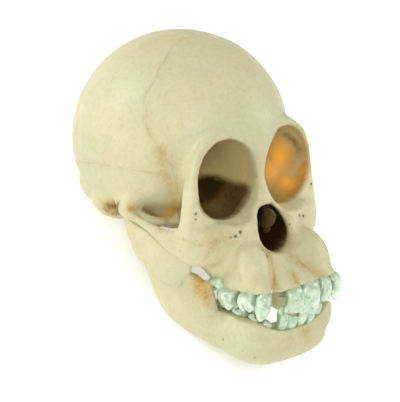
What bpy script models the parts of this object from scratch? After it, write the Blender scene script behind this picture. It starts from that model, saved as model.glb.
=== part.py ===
"""Skull of a young orangutan, life size, as a still museum model.

The skull is shaped upright, in millimetres, which are turned into metres where a mesh is made: X runs to its
left, Y to its back and Z up, and the face looks along -Y. Last it is tipped back onto the angles of its lower
jaw and its nape, the way it rests.
"""

import math

import bmesh
import bpy
import numpy as np
from mathutils import Euler, Matrix, Vector

MM = 0.001

# Driving sizes
VAULT_CENTRE = (0, 17.5, 91)
VAULT_RADII = (48, 57, 51)
VAULT_TILT = -12
ORBIT_CENTRE = (18.4, -34.7, 84.3)
ORBIT_WIDTH = 31.6
ORBIT_HEIGHT = 36.6
ORBIT_DEPTH = 38
NASAL_WIDTH = 19
NASAL_TOP = (0, -41.5, 70.5)
NASAL_SILL = (0, -49, 50.4)
UPPER_GUM_Z = 35
FORAMEN_MAGNUM = (0, 35, 53)
JAW_JOINT = (36.8, 2.5, 58)
GAP = 0.35
REST_PITCH = -33.2
FLAT_DEPTH = 0.4

TOOTH_SPACING = 0.35
MISSING_TOOTH = 1
UPPER_ROW = [
    (0, -66.3, 37.5),
    (8, -66.3, 37.5),
    (15.5, -65.8, 37.5),
    (20.8, -64, 37.3),
    (23.5, -60, 36.8),
    (24, -53, 36.2),
    (23.5, -44, 36),
    (22.8, -33, 35.8),
    (22.2, -24, 35.8),
]
UPPER_TEETH = [
    ("incisor", 9.2, 5.4, 10),
    ("incisor", 7.4, 4.8, 9),
    ("canine", 7.6, 6.4, 10),
    ("molar", 9.2, 8.2, 6.4),
    ("molar", 10.2, 8.8, 6.2),
    ("molar", 10.8, 9.2, 6),
]
LOWER_ROW = [
    (0, -60.6, 16.5),
    (8, -60.6, 17.2),
    (15.2, -60, 19.8),
    (20, -57.3, 23.2),
    (22.2, -51.5, 24.4),
    (22.6, -44, 24.8),
    (22.4, -34, 25),
    (22.2, -24, 25),
]
LOWER_TEETH = [
    ("incisor", 5.6, 4.6, 11.6),
    ("incisor", 6, 4.8, 10.8),
    ("canine", 7, 5.8, 7.6),
    ("molar", 9.2, 7, 4.6),
    ("molar", 10.6, 7.6, 4.3),
    ("molar", 11.2, 8, 4.2),
]

# Rings of each kind of tooth: level, as a share of the crown's height or, below 0, in millimetres down the
# root; share of the half width; share of the half thickness; lean outwards in millimetres
TOOTH_SHAPES = {
    "incisor": [
        (-4, 0.5, 0.6, -3.2),
        (-1, 0.75, 0.85, -1.3),
        (0.35, 0.92, 1, 0.1),
        (0.8, 1, 0.55, 1),
        (1, 0.9, 0.18, 1.4),
    ],
    "canine": [
        (-4.5, 0.5, 0.6, -3.4),
        (-1, 0.8, 0.85, -1.3),
        (0.35, 1, 1, 0.2),
        (0.75, 0.6, 0.62, 0.9),
        (1, 0.15, 0.15, 1),
    ],
    "molar": [
        (-5, 0.55, 0.5, -1.6),
        (-1, 0.82, 0.8, -0.6),
        (0.4, 1, 1, 0),
        (0.82, 0.92, 0.88, 0),
        (1, 0.68, 0.62, -0.2),
    ],
}

FORM_VOXEL = 1.3
CUT_VOXEL = 1.05
CRANIUM_TRIANGLES = 7600
MANDIBLE_TRIANGLES = 3600
SIDES = (-1, 1)
CHEEK_NAMES = ("cheekbone_right", "cheekbone_left")
ARCADE_CENTRE = np.array([0, -42.0])

BONE_COLOUR = (0.80, 0.74, 0.53)
BONE_ROUGHNESS = 0.42
BONE_SHADES = {
    "braincase": 1.0,
    "cheekbone_right": 0.97,
    "cheekbone_left": 0.97,
    "upper_jaw": 0.95,
    "lower_jaw": 1.02,
}


def clear_scene():
    for obj in list(bpy.data.objects):
        bpy.data.objects.remove(obj)


def bone_material(name, shade):
    """Dry bone, slightly lighter or browner from one part of the skull to the next."""
    material = bpy.data.materials.new(name)
    material.use_nodes = True
    shader = material.node_tree.nodes["Principled BSDF"]
    red, green, blue = BONE_COLOUR
    shader.inputs["Base Color"].default_value = (red * shade, green * shade, blue * shade**2, 1.0)
    shader.inputs["Roughness"].default_value = BONE_ROUGHNESS
    shader.inputs["Metallic"].default_value = 0.0
    return material


def mesh_object(name, points, faces):
    """A new object from points in millimetres, its faces turned outwards."""
    mesh = bpy.data.meshes.new(name)
    mesh.from_pydata([Vector(p) * MM for p in points], [], faces)
    shape = bmesh.new()
    shape.from_mesh(mesh)
    bmesh.ops.recalc_face_normals(shape, faces=shape.faces)
    shape.to_mesh(mesh)
    shape.free()
    obj = bpy.data.objects.new(name, mesh)
    bpy.context.scene.collection.objects.link(obj)
    return obj


def loft(name, rings):
    """A closed form through rings of as many points each, capped at both ends."""
    count = len(rings[0])
    points = [p for ring in rings for p in ring]
    faces = [tuple(range(count)), tuple(range(len(points) - count, len(points)))]
    for r in range(len(rings) - 1):
        for i in range(count):
            a = r * count + i
            b = r * count + (i + 1) % count
            faces.append((a, b, b + count, a + count))
    return mesh_object(name, points, faces)


def through(stations, steps):
    """Catmull-Rom curve through the stations, which may carry sizes after their place."""
    knots = np.array(stations, float)
    knots = np.vstack([2 * knots[0] - knots[1], knots, 2 * knots[-1] - knots[-2]])
    made = []
    for k in range(1, len(knots) - 2):
        a, b, c, d = knots[k - 1 : k + 3]
        for t in np.linspace(0, 1, steps, endpoint=False):
            bend = (2 * a - 5 * b + 4 * c - d) * t**2 + (3 * b - a - 3 * c + d) * t**3
            made.append(0.5 * (2 * b + (c - a) * t + bend))
    made.append(knots[-2])
    return np.array(made)


def superellipse(count, power):
    """Unit ring of points; a power over 2 squares it off."""
    turn = np.linspace(0, 2 * math.pi, count, endpoint=False)
    c, s = np.cos(turn), np.sin(turn)
    return np.stack([np.sign(c) * abs(c) ** (2 / power), np.sign(s) * abs(s) ** (2 / power)], 1)


def limb(name, stations, across=(0, 0, 1), sides=20, steps=5, power=2.2):
    """A rounded bar along stations of x, y, z, half size across it and half size in the plane of across."""
    line = through(stations, steps)
    place, sizes = line[:, :3], line[:, 3:5]
    along = np.gradient(place, axis=0)
    along /= np.linalg.norm(along, axis=1)[:, None]
    side = np.cross(along, np.array(across, float))
    side /= np.linalg.norm(side, axis=1)[:, None]
    high = np.cross(side, along)
    unit = superellipse(sides, power)
    rings = []

    def ring(i, shrink, shift):
        centre = place[i] + along[i] * shift
        wide, tall = side[i] * sizes[i, 0] * shrink, high[i] * sizes[i, 1] * shrink
        return [centre + wide * u + tall * v for u, v in unit]

    for end, last in ((0, False), (len(line) - 1, True)):
        reach = sizes[end].min()
        way = 1 if last else -1
        caps = [ring(end, math.cos(t), reach * math.sin(t) * way) for t in (1.35, 0.9, 0.45)]
        if last:
            rings += caps[::-1]
        else:
            rings += caps + [ring(i, 1, 0) for i in range(len(line))]
    return loft(name, rings)


def blob(name, centre, radii, turn=(0, 0, 0)):
    """An ellipsoid, turned by degrees about X, Y and Z."""
    shape = bmesh.new()
    bmesh.ops.create_uvsphere(shape, u_segments=40, v_segments=24, radius=1)
    spin = Euler([math.radians(t) for t in turn]).to_matrix().to_4x4()
    stretch = Matrix.Diagonal((*[r * MM for r in radii], 1))
    matrix = Matrix.Translation(Vector(centre) * MM) @ spin @ stretch
    bmesh.ops.transform(shape, matrix=matrix, verts=shape.verts)
    mesh = bpy.data.meshes.new(name)
    shape.to_mesh(mesh)
    shape.free()
    obj = bpy.data.objects.new(name, mesh)
    bpy.context.scene.collection.objects.link(obj)
    return obj


def mirrored(place, side):
    return (place[0] * side, *place[1:])


def both_sides(make, name, stations, **options):
    return [make(name, [mirrored(s, side) for s in stations], **options) for side in SIDES]


def both_blobs(name, centre, radii, turn=(0, 0, 0)):
    return [
        blob(name, mirrored(centre, side), radii, (turn[0], turn[1] * side, turn[2] * side))
        for side in SIDES
    ]


def apply_modifiers(obj):
    graph = bpy.context.evaluated_depsgraph_get()
    mesh = bpy.data.meshes.new_from_object(obj.evaluated_get(graph), depsgraph=graph)
    obj.modifiers.clear()
    obj.data = mesh
    return obj


def joined(name, pieces):
    shape = bmesh.new()
    for piece in pieces:
        shape.from_mesh(piece.data)
        bpy.data.objects.remove(piece)
    mesh = bpy.data.meshes.new(name)
    shape.to_mesh(mesh)
    shape.free()
    obj = bpy.data.objects.new(name, mesh)
    bpy.context.scene.collection.objects.link(obj)
    return obj


def skin(obj, voxel, rounds):
    """One even skin round everything in the object, with its creases rounded over."""
    wrap = obj.modifiers.new("skin", "REMESH")
    wrap.mode = "VOXEL"
    wrap.voxel_size = voxel * MM
    if rounds:
        soften = obj.modifiers.new("soften", "SMOOTH")
        soften.factor = 0.5
        soften.iterations = rounds
    return apply_modifiers(obj)


def boolean(obj, pieces, operation):
    """The pieces joined to the object or cut from it, and then removed."""
    tools = bpy.data.collections.new(operation.lower())
    bpy.context.scene.collection.children.link(tools)
    for piece in pieces:
        bpy.context.scene.collection.objects.unlink(piece)
        tools.objects.link(piece)
    work = obj.modifiers.new(operation.lower(), "BOOLEAN")
    work.operation = operation
    work.operand_type = "COLLECTION"
    work.collection = tools
    work.solver = "EXACT"
    apply_modifiers(obj)
    for piece in pieces:
        bpy.data.objects.remove(piece)
    bpy.data.collections.remove(tools)
    return obj


def thinned(obj, triangles):
    """Fewer triangles, most of them kept where the bone bends."""
    mesh = obj.data
    mesh.calc_loop_triangles()
    fewer = obj.modifiers.new("fewer", "DECIMATE")
    fewer.ratio = triangles / len(mesh.loop_triangles)
    fewer.use_collapse_triangulate = True
    return apply_modifiers(obj)


def largest_surface(obj):
    """Keeps the largest closed surface, which drops scraps and sealed hollows."""
    shape = bmesh.new()
    shape.from_mesh(obj.data)
    left = set(shape.verts)
    groups = []
    while left:
        seed = left.pop()
        group, front = {seed}, [seed]
        while front:
            vert = front.pop()
            for edge in vert.link_edges:
                other = edge.other_vert(vert)
                if other in left:
                    left.remove(other)
                    group.add(other)
                    front.append(other)
        groups.append(group)
    groups.sort(key=len)
    for group in groups[:-1]:
        bmesh.ops.delete(shape, geom=list(group), context="VERTS")
    bmesh.ops.triangulate(shape, faces=shape.faces)
    shape.to_mesh(obj.data)
    shape.free()
    return obj


def vault():
    """The braincase: an egg, broad at the back, narrower at the brow and flatter below."""
    shell = blob("vault", (0, 0, 0), VAULT_RADII)
    tilt = Matrix.Rotation(math.radians(VAULT_TILT), 3, "X")
    for vert in shell.data.vertices:
        x, y, z = tilt @ (vert.co / MM)
        x *= 1 - 0.12 * (max(0.0, -y - 14) / 41) ** 2
        if z < -18:
            z = -18 + (z + 18) * 0.55
        vert.co = (Vector((x, y, z)) + Vector(VAULT_CENTRE)) * MM
    return [shell]


def orbit_frame(side):
    """Place and matrix of an orbit's opening: it looks forward, a little out and a little up."""
    turn = Euler((math.radians(-1), 0, math.radians(2 * side)))
    return Vector(mirrored(ORBIT_CENTRE, side)), turn.to_matrix()


def orbit_ring(side, half_width, half_height, depth, shift=0.0, count=36):
    centre, turn = orbit_frame(side)
    ring = []
    for u, v in superellipse(count, 2.15):
        ring.append(centre + turn @ Vector((u * half_width - shift * side, depth, v * half_height)))
    return ring


def orbit_rims():
    """Bony rings round the orbits and the walls behind them."""
    made = []
    for side in SIDES:
        wide, high = ORBIT_WIDTH / 2, ORBIT_HEIGHT / 2
        stations = []
        for u, v in superellipse(24, 2.1):
            outer = max(0.0, u * side)
            lower = max(0.0, -v)
            thick = 1.7 + 0.3 * outer + 1.3 * lower
            centre, turn = orbit_frame(side)
            offset = Vector((u * (wide + thick * 0.9), 1.2 + 1.5 * outer, v * (high + thick * 0.8)))
            place = centre + turn @ offset
            stations.append((*place, thick, thick))
        stations.append(stations[0])
        made.append(limb("rim", stations, across=(0, 1, 0), steps=2))
        rings = [
            orbit_ring(side, wide + 1.8, high + 2.0, 0.5),
            orbit_ring(side, wide + 2.0, high + 2.4, 8, 0.5),
            orbit_ring(side, wide - 0.5, high - 0.5, 22, 4),
            orbit_ring(side, wide - 6, high - 6, 34, 7),
        ]
        made.append(loft("walls", rings))
    return made


def orbit_cutters():
    made = []
    for side in SIDES:
        wide, high = ORBIT_WIDTH / 2, ORBIT_HEIGHT / 2
        rings = [
            orbit_ring(side, wide + 2.0, high + 2.0, -14),
            orbit_ring(side, wide, high, -1),
            orbit_ring(side, wide + 0.3, high + 0.2, 5, 0.3),
            orbit_ring(side, wide - 1.8, high - 2, 14, 2),
            orbit_ring(side, wide - 6, high - 6.5, 24, 5.5),
            orbit_ring(side, wide - 11.5, high - 13, 33, 9),
            orbit_ring(side, 2.0, 2.2, ORBIT_DEPTH, 11),
        ]
        made.append(loft("orbit", rings))
    return made


def face_level(z, half_width, front, back, power=2.6, count=40):
    """A level slice through the snout, rounded in front."""
    ring = []
    middle, depth = (front + back) / 2, (back - front) / 2
    for u, v in superellipse(count, power):
        ring.append((u * half_width, middle + v * depth, z))
    return ring


def snout():
    """Upper jaw from the floors of the orbits down to the gum line."""
    levels = [
        (76, 10, -37, -12),
        (70, 16, -41, -14),
        (62, 21, -46.5, -18),
        (55, 23, -49.5, -22),
        (48, 24.5, -57, -25),
        (42, 25.6, -64, -26.5),
        (UPPER_GUM_Z + 2, 26.6, -67.8, -27),
        (UPPER_GUM_Z, 26.2, -68.2, -28),
    ]
    smooth = through(levels, 3)
    body = loft("snout", [face_level(*level, power=4.4) for level in smooth])
    juga = both_blobs("canine root", (17.4, -53.2, 46), (9, 7.4, 13.5), (-31, -5, 0))
    return [body, *juga]


def cheeks():
    """Cheek bones: below and beside the orbits, and down to the upper jaw."""
    below = both_sides(
        limb,
        "cheek",
        [
            (10, -42, 62, 4, 6),
            (20, -40, 59.5, 5, 8),
            (29, -37, 57, 5, 9.5),
            (36, -32.5, 56.5, 4.4, 9.5),
            (40, -27.5, 57.5, 3, 8.5),
        ],
        across=(0, 0, 1),
    )
    root = both_sides(
        limb,
        "cheek root",
        [(34, -32, 57, 6, 5), (28.5, -32, 51, 6, 5), (23, -33, 44, 5, 5)],
        across=(0, 1, 0),
    )
    pillar = both_sides(
        limb,
        "pillar",
        [
            (39, -30, 60, 3, 4.6),
            (37.4, -30, 70, 2.7, 4.6),
            (35.4, -29.5, 80, 2.4, 5.2),
            (32.6, -29.5, 91, 2.3, 4.6),
            (28.5, -29.5, 98.5, 3, 4.4),
            (22, -29, 104, 3.2, 5),
        ],
        across=(0, 1, 0),
    )
    return [*below, *root, *pillar]


def arches():
    """Cheek arches, each joined to the braincase just in front of the ear."""
    roots = both_blobs("arch root", (42.5, 3.5, 68.5), (5, 4.5, 4.6))
    return roots + both_sides(
        limb,
        "arch",
        [
            (39, -29, 56.5, 3, 7.8),
            (43, -23, 58.8, 2.6, 5.4),
            (45.8, -16.5, 62.4, 2.2, 3.2),
            (46.8, -9, 64.7, 2.1, 2.5),
            (46.4, -2, 65.5, 2.3, 2.5),
            (45, 5, 66.4, 3.2, 3.2),
            (42.5, 11, 68, 3.6, 3.6),
        ],
        across=(0, 0, 1),
    )


def nose_bridge():
    return [
        limb(
            "bridge",
            [
                (0, -32.5, 103, 9, 5),
                (0, -33, 95, 5, 4.5),
                (0, -33.5, 87.5, 4, 4),
                (0, -36.5, 78, 5, 4),
                (0, -39.5, 71.5, 6.4, 3.0),
            ],
            across=(0, 1, 0),
        )
    ]


def skull_base():
    """Underside: mastoids, base, condyles and the wings that carry the back of the palate."""
    floor = blob("floor", (0, 12, 66.5), (38, 34, 9), (2, 0, 0))
    temples = both_blobs("temple floor", (27.5, -4, 61.6), (5.5, 12.5, 4.6))
    mastoids = both_blobs("mastoid", (35.6, 23.5, 65.5), (8.6, 14.5, 8.8))
    neck = limb("neck", [(0, -14, 57, 8, 6), (0, 2, 57, 8, 5), (0, 18, 56, 8, 5)], across=(0, 0, 1))
    condyles = both_blobs("condyle", (11.5, 27, 53.5), (4.5, 8, 4), (0, 0, 20))
    wings = both_sides(
        limb,
        "wing",
        [(13, -9, 60, 2.6, 8), (12.5, -10.5, 50, 2.4, 6.5), (12.5, -13, 39, 2.4, 5)],
        across=(0, 1, 0),
    )
    rear = blob("nape", (0, 40, 68), (38.5, 27.5, 17.5))
    return [floor, *temples, *mastoids, neck, *condyles, *wings, rear]


def nose_cutter():
    base, top = Vector(NASAL_SILL), Vector(NASAL_TOP)
    rings = []
    for depth, grow in ((-16, 1), (-1, 0), (12, 0), (22, -1.5), (28, -4)):
        ring = []
        for u, v in superellipse(28, 2.2):
            share = (v + 1) / 2
            half = (NASAL_WIDTH / 2 + grow) * (1 - 0.55 * max(0.0, share - 0.45))
            place = base.lerp(top, share)
            ring.append((u * half, place.y + depth, place.z + grow * v * 0.6))
        rings.append(ring)
    return loft("nose", rings)


def palate_cutter():
    """The hollow roof of the mouth, open at the back."""
    levels = [
        (10, 17.5, -58.5, 0),
        (26, 17.5, -58.5, 0),
        (UPPER_GUM_Z, 16.5, -58, 0),
        (40, 14, -55, 0),
        (43.5, 10, -50, -3),
    ]
    rings = []
    for z, half_width, front, back in through(levels, 3):
        ring = []
        for u, v in superellipse(32, 3.4):
            y = front + (back - front) * (v + 1) / 2
            ring.append((u * half_width, y, z))
        rings.append(ring)
    return loft("palate", rings)


def ear_cutters():
    """A broad hollow behind each arch root, with the ear canal at its bottom."""
    made = []
    for side in SIDES:
        stations = [
            (54, 15.5, 60.5, 10, 7),
            (47.5, 14, 63.8, 6.8, 4.2),
            (42, 13.5, 64.6, 4.4, 3.2),
            (37.5, 13, 65, 2, 2),
            (31, 12, 65.5, 1.6, 1.6),
        ]
        made.append(limb("ear", [mirrored(s, side) for s in stations], across=(0, 0, 1)))
    return made


def foramen_cutter():
    x, y, z = FORAMEN_MAGNUM
    stations = [
        (x, y - 2, z - 18, 12.5, 14.5),
        (x, y, z, 11.5, 13.5),
        (x, y - 2, z + 12, 13, 15),
        (x, y - 4, z + 24, 9, 10),
    ]
    return limb("foramen", stations, across=(0, 1, 0), sides=28)


def cranium_bone():
    forms = [*vault(), *orbit_rims(), *snout(), *cheeks(), *arches(), *nose_bridge(), *skull_base()]
    bone = skin(joined("cranium", forms), FORM_VOXEL, 4)
    hollows = [*orbit_cutters(), nose_cutter(), palate_cutter(), *ear_cutters(), foramen_cutter()]
    boolean(bone, hollows, "DIFFERENCE")
    skin(bone, CUT_VOXEL, 2)
    thinned(largest_surface(bone), CRANIUM_TRIANGLES)
    return boolean(bone, [jaw_joint(side, GAP) for side in SIDES], "DIFFERENCE")


def jaw_body():
    half = [
        (0, -57, 10.2, 5.4, 9.8),
        (9, -57, 10.4, 5.4, 9.8),
        (17.5, -56.2, 11.8, 5.3, 10),
        (22.3, -51, 13.8, 4.9, 10.4),
        (23.5, -41, 15.8, 4.7, 10.5),
        (26, -30, 17.6, 4.4, 10),
    ]
    stations = [mirrored(s, -1) for s in half[::-1]] + half[1:]
    body = limb("body", stations, across=(0, 0, 1), steps=6, power=2.6)
    half = [
        (0, -60, 13, 4, 4),
        (10, -60.2, 14, 4, 4.4),
        (18, -59.8, 16.8, 4, 5.6),
        (22.8, -56.5, 18.2, 4, 6.6),
        (24.4, -49, 19.6, 4, 6),
        (24.6, -40, 20.6, 4, 5),
    ]
    stations = [mirrored(s, -1) for s in half[::-1]] + half[1:]
    return [body, limb("tooth ridge", stations, across=(0, 0, 1), steps=6)]


def jaw_joint(side, grow=0.0):
    """The rounded head that the lower jaw hinges on, or with grow the socket it sits in."""
    return blob("joint", mirrored(JAW_JOINT, side), [r + grow for r in (7.4, 3.7, 3.2)], (0, 0, 8 * side))


def ramus():
    """Upright plate at the back of the lower jaw, with its two prongs."""
    made = []
    for side in SIDES:
        levels = [
            (8.5, 25.5, -27, 2.6, 8),
            (12.5, 27, -22.5, 3.4, 15),
            (18, 28.6, -19.2, 3.7, 18),
            (25, 30.5, -17.5, 3.5, 18.5),
            (33, 32.8, -15.6, 3.3, 18.6),
            (42, 35.5, -12.8, 3.0, 18.2),
            (49, 37.4, -10.2, 2.8, 17.3),
            (53, 38.4, -9.3, 2.5, 16.5),
            (56.8, 39, -8.6, 2.1, 13),
        ]
        rings = []
        for z, x, y, half_width, half_depth in through(levels, 3):
            unit = superellipse(28, 2.3)
            rings.append([(x * side + u * half_width, y + v * half_depth, z) for u, v in unit])
        made.append(loft("ramus", rings))
        made.append(
            limb(
                "coronoid",
                [
                    (37.6 * side, -20, 47, 2.5, 5),
                    (38 * side, -19.5, 53, 2.2, 4),
                    (38 * side, -18.5, 57.5, 1.8, 2.4),
                ],
                across=(0, 1, 0),
            )
        )
        made.append(
            limb(
                "neck",
                [
                    (38.2 * side, -3, 49, 2.6, 5),
                    (38.4 * side, 0, 54, 3, 4),
                    (38 * side, 1.5, 57.5, 3.4, 3.2),
                ],
                across=(0, 1, 0),
            )
        )
        made.append(jaw_joint(side))
    made += both_blobs("molar swelling", (27.5, -21.5, 30), (4.5, 6.2, 9.5))
    made += both_blobs("front swelling", (31.2, -29, 34), (3.2, 6.2, 8.2), (-20, 0, 0))
    return made


def mandible_bone():
    bone = skin(joined("mandible", [*jaw_body(), *ramus()]), FORM_VOXEL, 3)
    return thinned(largest_surface(skin(bone, CUT_VOXEL, 1)), MANDIBLE_TRIANGLES)


def arc_points(path, sizes, spacing):
    """Centre and outward direction of each tooth in a row, from its widths measured along the path."""
    line = through(path, 24)
    steps = np.linalg.norm(np.diff(line, axis=0), axis=1)
    reach = np.concatenate([[0], np.cumsum(steps)])
    found = []
    edge = 0.0
    for width in sizes:
        middle = edge + spacing / 2 + width / 2
        edge += width + spacing
        place = np.array([np.interp(middle, reach, line[:, i]) for i in range(3)])
        ahead = np.array([np.interp(middle + 0.5, reach, line[:, i]) for i in range(3)])
        along = ahead - place
        along /= np.linalg.norm(along)
        found.append((place, along))
    return found


def crown(kind, width, thick, height, sides=10):
    """Rings of a tooth: x along the row, y outwards and z from the gum, with its root below that."""
    rings = []
    for level, wide, fat, lean in TOOTH_SHAPES[kind]:
        z = level * height if level > 0 else level
        unit = superellipse(sides, 3.0 if kind == "molar" else 2.4)
        rings.append([(u * width / 2 * wide, v * thick / 2 * fat + lean, z) for u, v in unit])
    return rings


def tooth(rings, place, along, up):
    """A tooth set at a place of the gum; up is 1 for a lower tooth and -1 for an upper one."""
    out = np.cross(along, (0, 0, 1.0))
    out /= np.linalg.norm(out)
    if out[:2] @ (place[:2] - ARCADE_CENTRE) < 0:
        out = -out
    rise = np.array([0, 0, up])
    return loft("tooth", [[place + along * x + out * y + rise * z for x, y, z in ring] for ring in rings])


def teeth(path, row, up, missing=None):
    made = []
    spots = arc_points(path, [size[1] for size in row], TOOTH_SPACING)
    for side in SIDES:
        flip = np.array([side, 1, 1])
        for index, (size, (place, along)) in enumerate(zip(row, spots)):
            if side < 0 and index == missing:
                continue
            made.append(tooth(crown(*size), place * flip, along * flip, up))
    return made


def wedge(corners, grow=0.0):
    """A convex block from its corners, larger all round by grow."""
    shape = bmesh.new()
    middle = sum((Vector(c) for c in corners), Vector()) / len(corners)
    for corner in corners:
        shape.verts.new(Vector(corner) * MM)
    bmesh.ops.convex_hull(shape, input=shape.verts)
    bmesh.ops.recalc_face_normals(shape, faces=shape.faces)
    if grow:
        planes = {}
        for face in shape.faces:
            key = tuple(round(v, 4) for v in face.normal)
            planes[key] = face.normal.copy()
        for vert in shape.verts:
            shift = Vector()
            for normal in planes.values():
                if any((f.normal - normal).length < 1e-3 for f in vert.link_faces):
                    shift += normal * grow * MM
            vert.co += shift
    mesh = bpy.data.meshes.new("wedge")
    shape.to_mesh(mesh)
    shape.free()
    obj = bpy.data.objects.new("wedge", mesh)
    bpy.context.scene.collection.objects.link(obj)
    return obj


def cheek_corners(side):
    """The block that holds a cheek bone: a slanting rear face parts it in the middle of its arch."""
    corners = []
    for z, inner in ((20, 31), (93, 23.5)):
        corners += [(inner, -60, z), (60, -60, z), (60, -1, z), (inner, -1 - 0.79 * (60 - inner), z)]
    return [mirrored(c, side) for c in corners]


def jaw_corners():
    made = []
    for x in (-45, 45):
        made += [(x, -85, 0), (x, -20.5, 0), (x, -20.5, 52.5), (x, -85, 82)]
    return made


def copied(obj, name):
    twin = obj.copy()
    twin.data = obj.data.copy()
    twin.name = name
    bpy.context.scene.collection.objects.link(twin)
    return twin


def parted(obj, corners, name):
    """Takes the piece inside the wedge off the object, with a thin gap left between them."""
    piece = copied(obj, name)
    boolean(piece, [wedge(corners)], "INTERSECT")
    boolean(obj, [wedge(corners, GAP)], "DIFFERENCE")
    largest_surface(obj)
    return largest_surface(piece)


def rest_on_floor(objects):
    """Turns the skull to the way it rests, with small flats, and its origin under the middle of its box."""
    spin = Matrix.Rotation(math.radians(REST_PITCH), 4, "X")
    for obj in objects:
        obj.data.transform(spin)
    corners = np.array([v.co for obj in objects for v in obj.data.vertices])
    low, high = corners.min(0), corners.max(0)
    floor = low[2] + FLAT_DEPTH * MM
    shift = Matrix.Translation((-(low[0] + high[0]) / 2, -(low[1] + high[1]) / 2, -floor))
    for obj in objects:
        obj.data.transform(shift)
        if min(v.co.z for v in obj.data.vertices) < 0:
            slab = [(x, y, z) for x in (-90, 90) for y in (-120, 120) for z in (-20, 0)]
            boolean(obj, [wedge(slab)], "DIFFERENCE")
            largest_surface(obj)


def main():
    clear_scene()
    cranium = cranium_bone()
    mandible = mandible_bone()
    cheeks_off = [parted(cranium, cheek_corners(side), name) for side, name in zip(SIDES, CHEEK_NAMES)]
    upper = parted(cranium, jaw_corners(), "upper_jaw")
    boolean(upper, teeth(UPPER_ROW, UPPER_TEETH, -1, MISSING_TOOTH), "UNION")
    boolean(mandible, teeth(LOWER_ROW, LOWER_TEETH, 1), "UNION")
    mandible.name = "lower_jaw"
    cranium.name = "braincase"
    nodes = [cranium, *cheeks_off, upper, mandible]
    for obj in nodes:
        largest_surface(obj)
    rest_on_floor(nodes)
    for obj in nodes:
        obj.data.materials.clear()
        obj.data.materials.append(bone_material(obj.name, BONE_SHADES[obj.name]))
        obj.data.shade_smooth()
        obj.data.set_sharp_from_angle(angle=math.radians(45))


main()
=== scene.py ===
# A young orangutan's skull, tipped back as it rests on its jaw angles and nape.
# Shapes are made on the upright skull, in millimetres: x to its left, y to its back, z up.
# Each piece is turned to the way it rests as its last step.
import math
import bpy
import numpy as np
from mathutils import Matrix, Vector, noise


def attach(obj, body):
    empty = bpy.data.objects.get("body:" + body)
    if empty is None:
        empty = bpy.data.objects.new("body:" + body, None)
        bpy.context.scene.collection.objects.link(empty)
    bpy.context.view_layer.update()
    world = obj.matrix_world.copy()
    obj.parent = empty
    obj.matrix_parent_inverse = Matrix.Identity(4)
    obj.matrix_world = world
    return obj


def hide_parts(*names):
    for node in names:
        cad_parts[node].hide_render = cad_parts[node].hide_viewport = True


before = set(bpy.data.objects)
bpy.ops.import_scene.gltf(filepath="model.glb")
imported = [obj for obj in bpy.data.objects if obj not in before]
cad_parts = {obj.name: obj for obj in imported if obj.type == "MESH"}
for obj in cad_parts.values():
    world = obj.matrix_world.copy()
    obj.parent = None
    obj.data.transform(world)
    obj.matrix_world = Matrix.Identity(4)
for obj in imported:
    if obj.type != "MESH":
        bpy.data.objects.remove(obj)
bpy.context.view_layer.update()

mm = 0.001
rest = {"tilt": -33.2, "back": -34.4, "down": -14.45}
restMatrix = Matrix.Translation((0, rest["back"] * mm, rest["down"] * mm)) @ Matrix.Rotation(
    math.radians(rest["tilt"]), 4, "X"
)
sides = {"right": -1, "left": 1}


# small helpers


def onlyActive(piece):
    bpy.ops.object.select_all(action="DESELECT")
    piece.select_set(True)
    bpy.context.view_layer.objects.active = piece


def applied(piece, kind, **settings):
    onlyActive(piece)
    modifier = piece.modifiers.new(kind.lower(), kind)
    for key, value in settings.items():
        setattr(modifier, key, value)
    bpy.ops.object.modifier_apply(modifier=modifier.name)


def joined(pieces, name):
    bpy.ops.object.select_all(action="DESELECT")
    for piece in pieces:
        piece.select_set(True)
    bpy.context.view_layer.objects.active = pieces[0]
    if len(pieces) > 1:
        bpy.ops.object.join()
    pieces[0].name = name
    return pieces[0]


def editAll(piece):
    # into edit mode with all of the piece selected
    onlyActive(piece)
    bpy.ops.object.mode_set(mode="EDIT")
    bpy.ops.mesh.select_all(action="SELECT")


def editDone():
    bpy.ops.object.mode_set(mode="OBJECT")


def linked(name, data):
    piece = bpy.data.objects.new(name, data)
    bpy.context.collection.objects.link(piece)
    return piece


def unitRound(segments, rings):
    # a round of radius 1, which pointsOf gives in metres times 1000
    bpy.ops.object.select_all(action="DESELECT")
    bpy.ops.mesh.primitive_uv_sphere_add(segments=segments, ring_count=rings, radius=1)
    return bpy.context.object


def outwards(piece):
    editAll(piece)
    bpy.ops.mesh.remove_doubles(threshold=0.00001)
    bpy.ops.mesh.normals_make_consistent(inside=False)
    editDone()


def pointsOf(piece):
    found = np.empty(len(piece.data.vertices) * 3)
    piece.data.vertices.foreach_get("co", found)
    return found.reshape(-1, 3) / mm


def normalsOf(piece):
    found = np.empty(len(piece.data.vertices) * 3, np.float32)
    piece.data.vertices.foreach_get("normal", found)
    return found.reshape(-1, 3).astype(float)


def setPoints(piece, points):
    piece.data.vertices.foreach_set("co", (points * mm).ravel())
    piece.data.update()


def ramp(value, low, high):
    t = np.clip((value - low) / (high - low), 0, 1)
    return t * t * (3 - 2 * t)


def bell(value, width):
    return np.exp(-((value / width) ** 2))


def smoothPath(stations, steps=8):
    # a Catmull-Rom curve through the stations
    knots = np.array(stations, float)
    knots = np.vstack([2 * knots[0] - knots[1], knots, 2 * knots[-1] - knots[-2]])
    found = []
    for k in range(1, len(knots) - 2):
        a, b, c, d = knots[k - 1 : k + 3]
        for t in np.linspace(0, 1, steps, endpoint=False):
            bend = (2 * a - 5 * b + 4 * c - d) * t * t + (3 * b - a - 3 * c + d) * t**3
            found.append(0.5 * (2 * b + (c - a) * t + bend))
    found.append(knots[-2])
    return np.array(found)


def noiseAt(points, size, shift=0.0):
    # smooth noise between -1 and 1, with features of the given size in mm
    return np.array([noise.noise(Vector(p) / size + Vector((shift, 0, 0))) for p in points])


skullMiddle = np.array([0, -5, 75])


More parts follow.
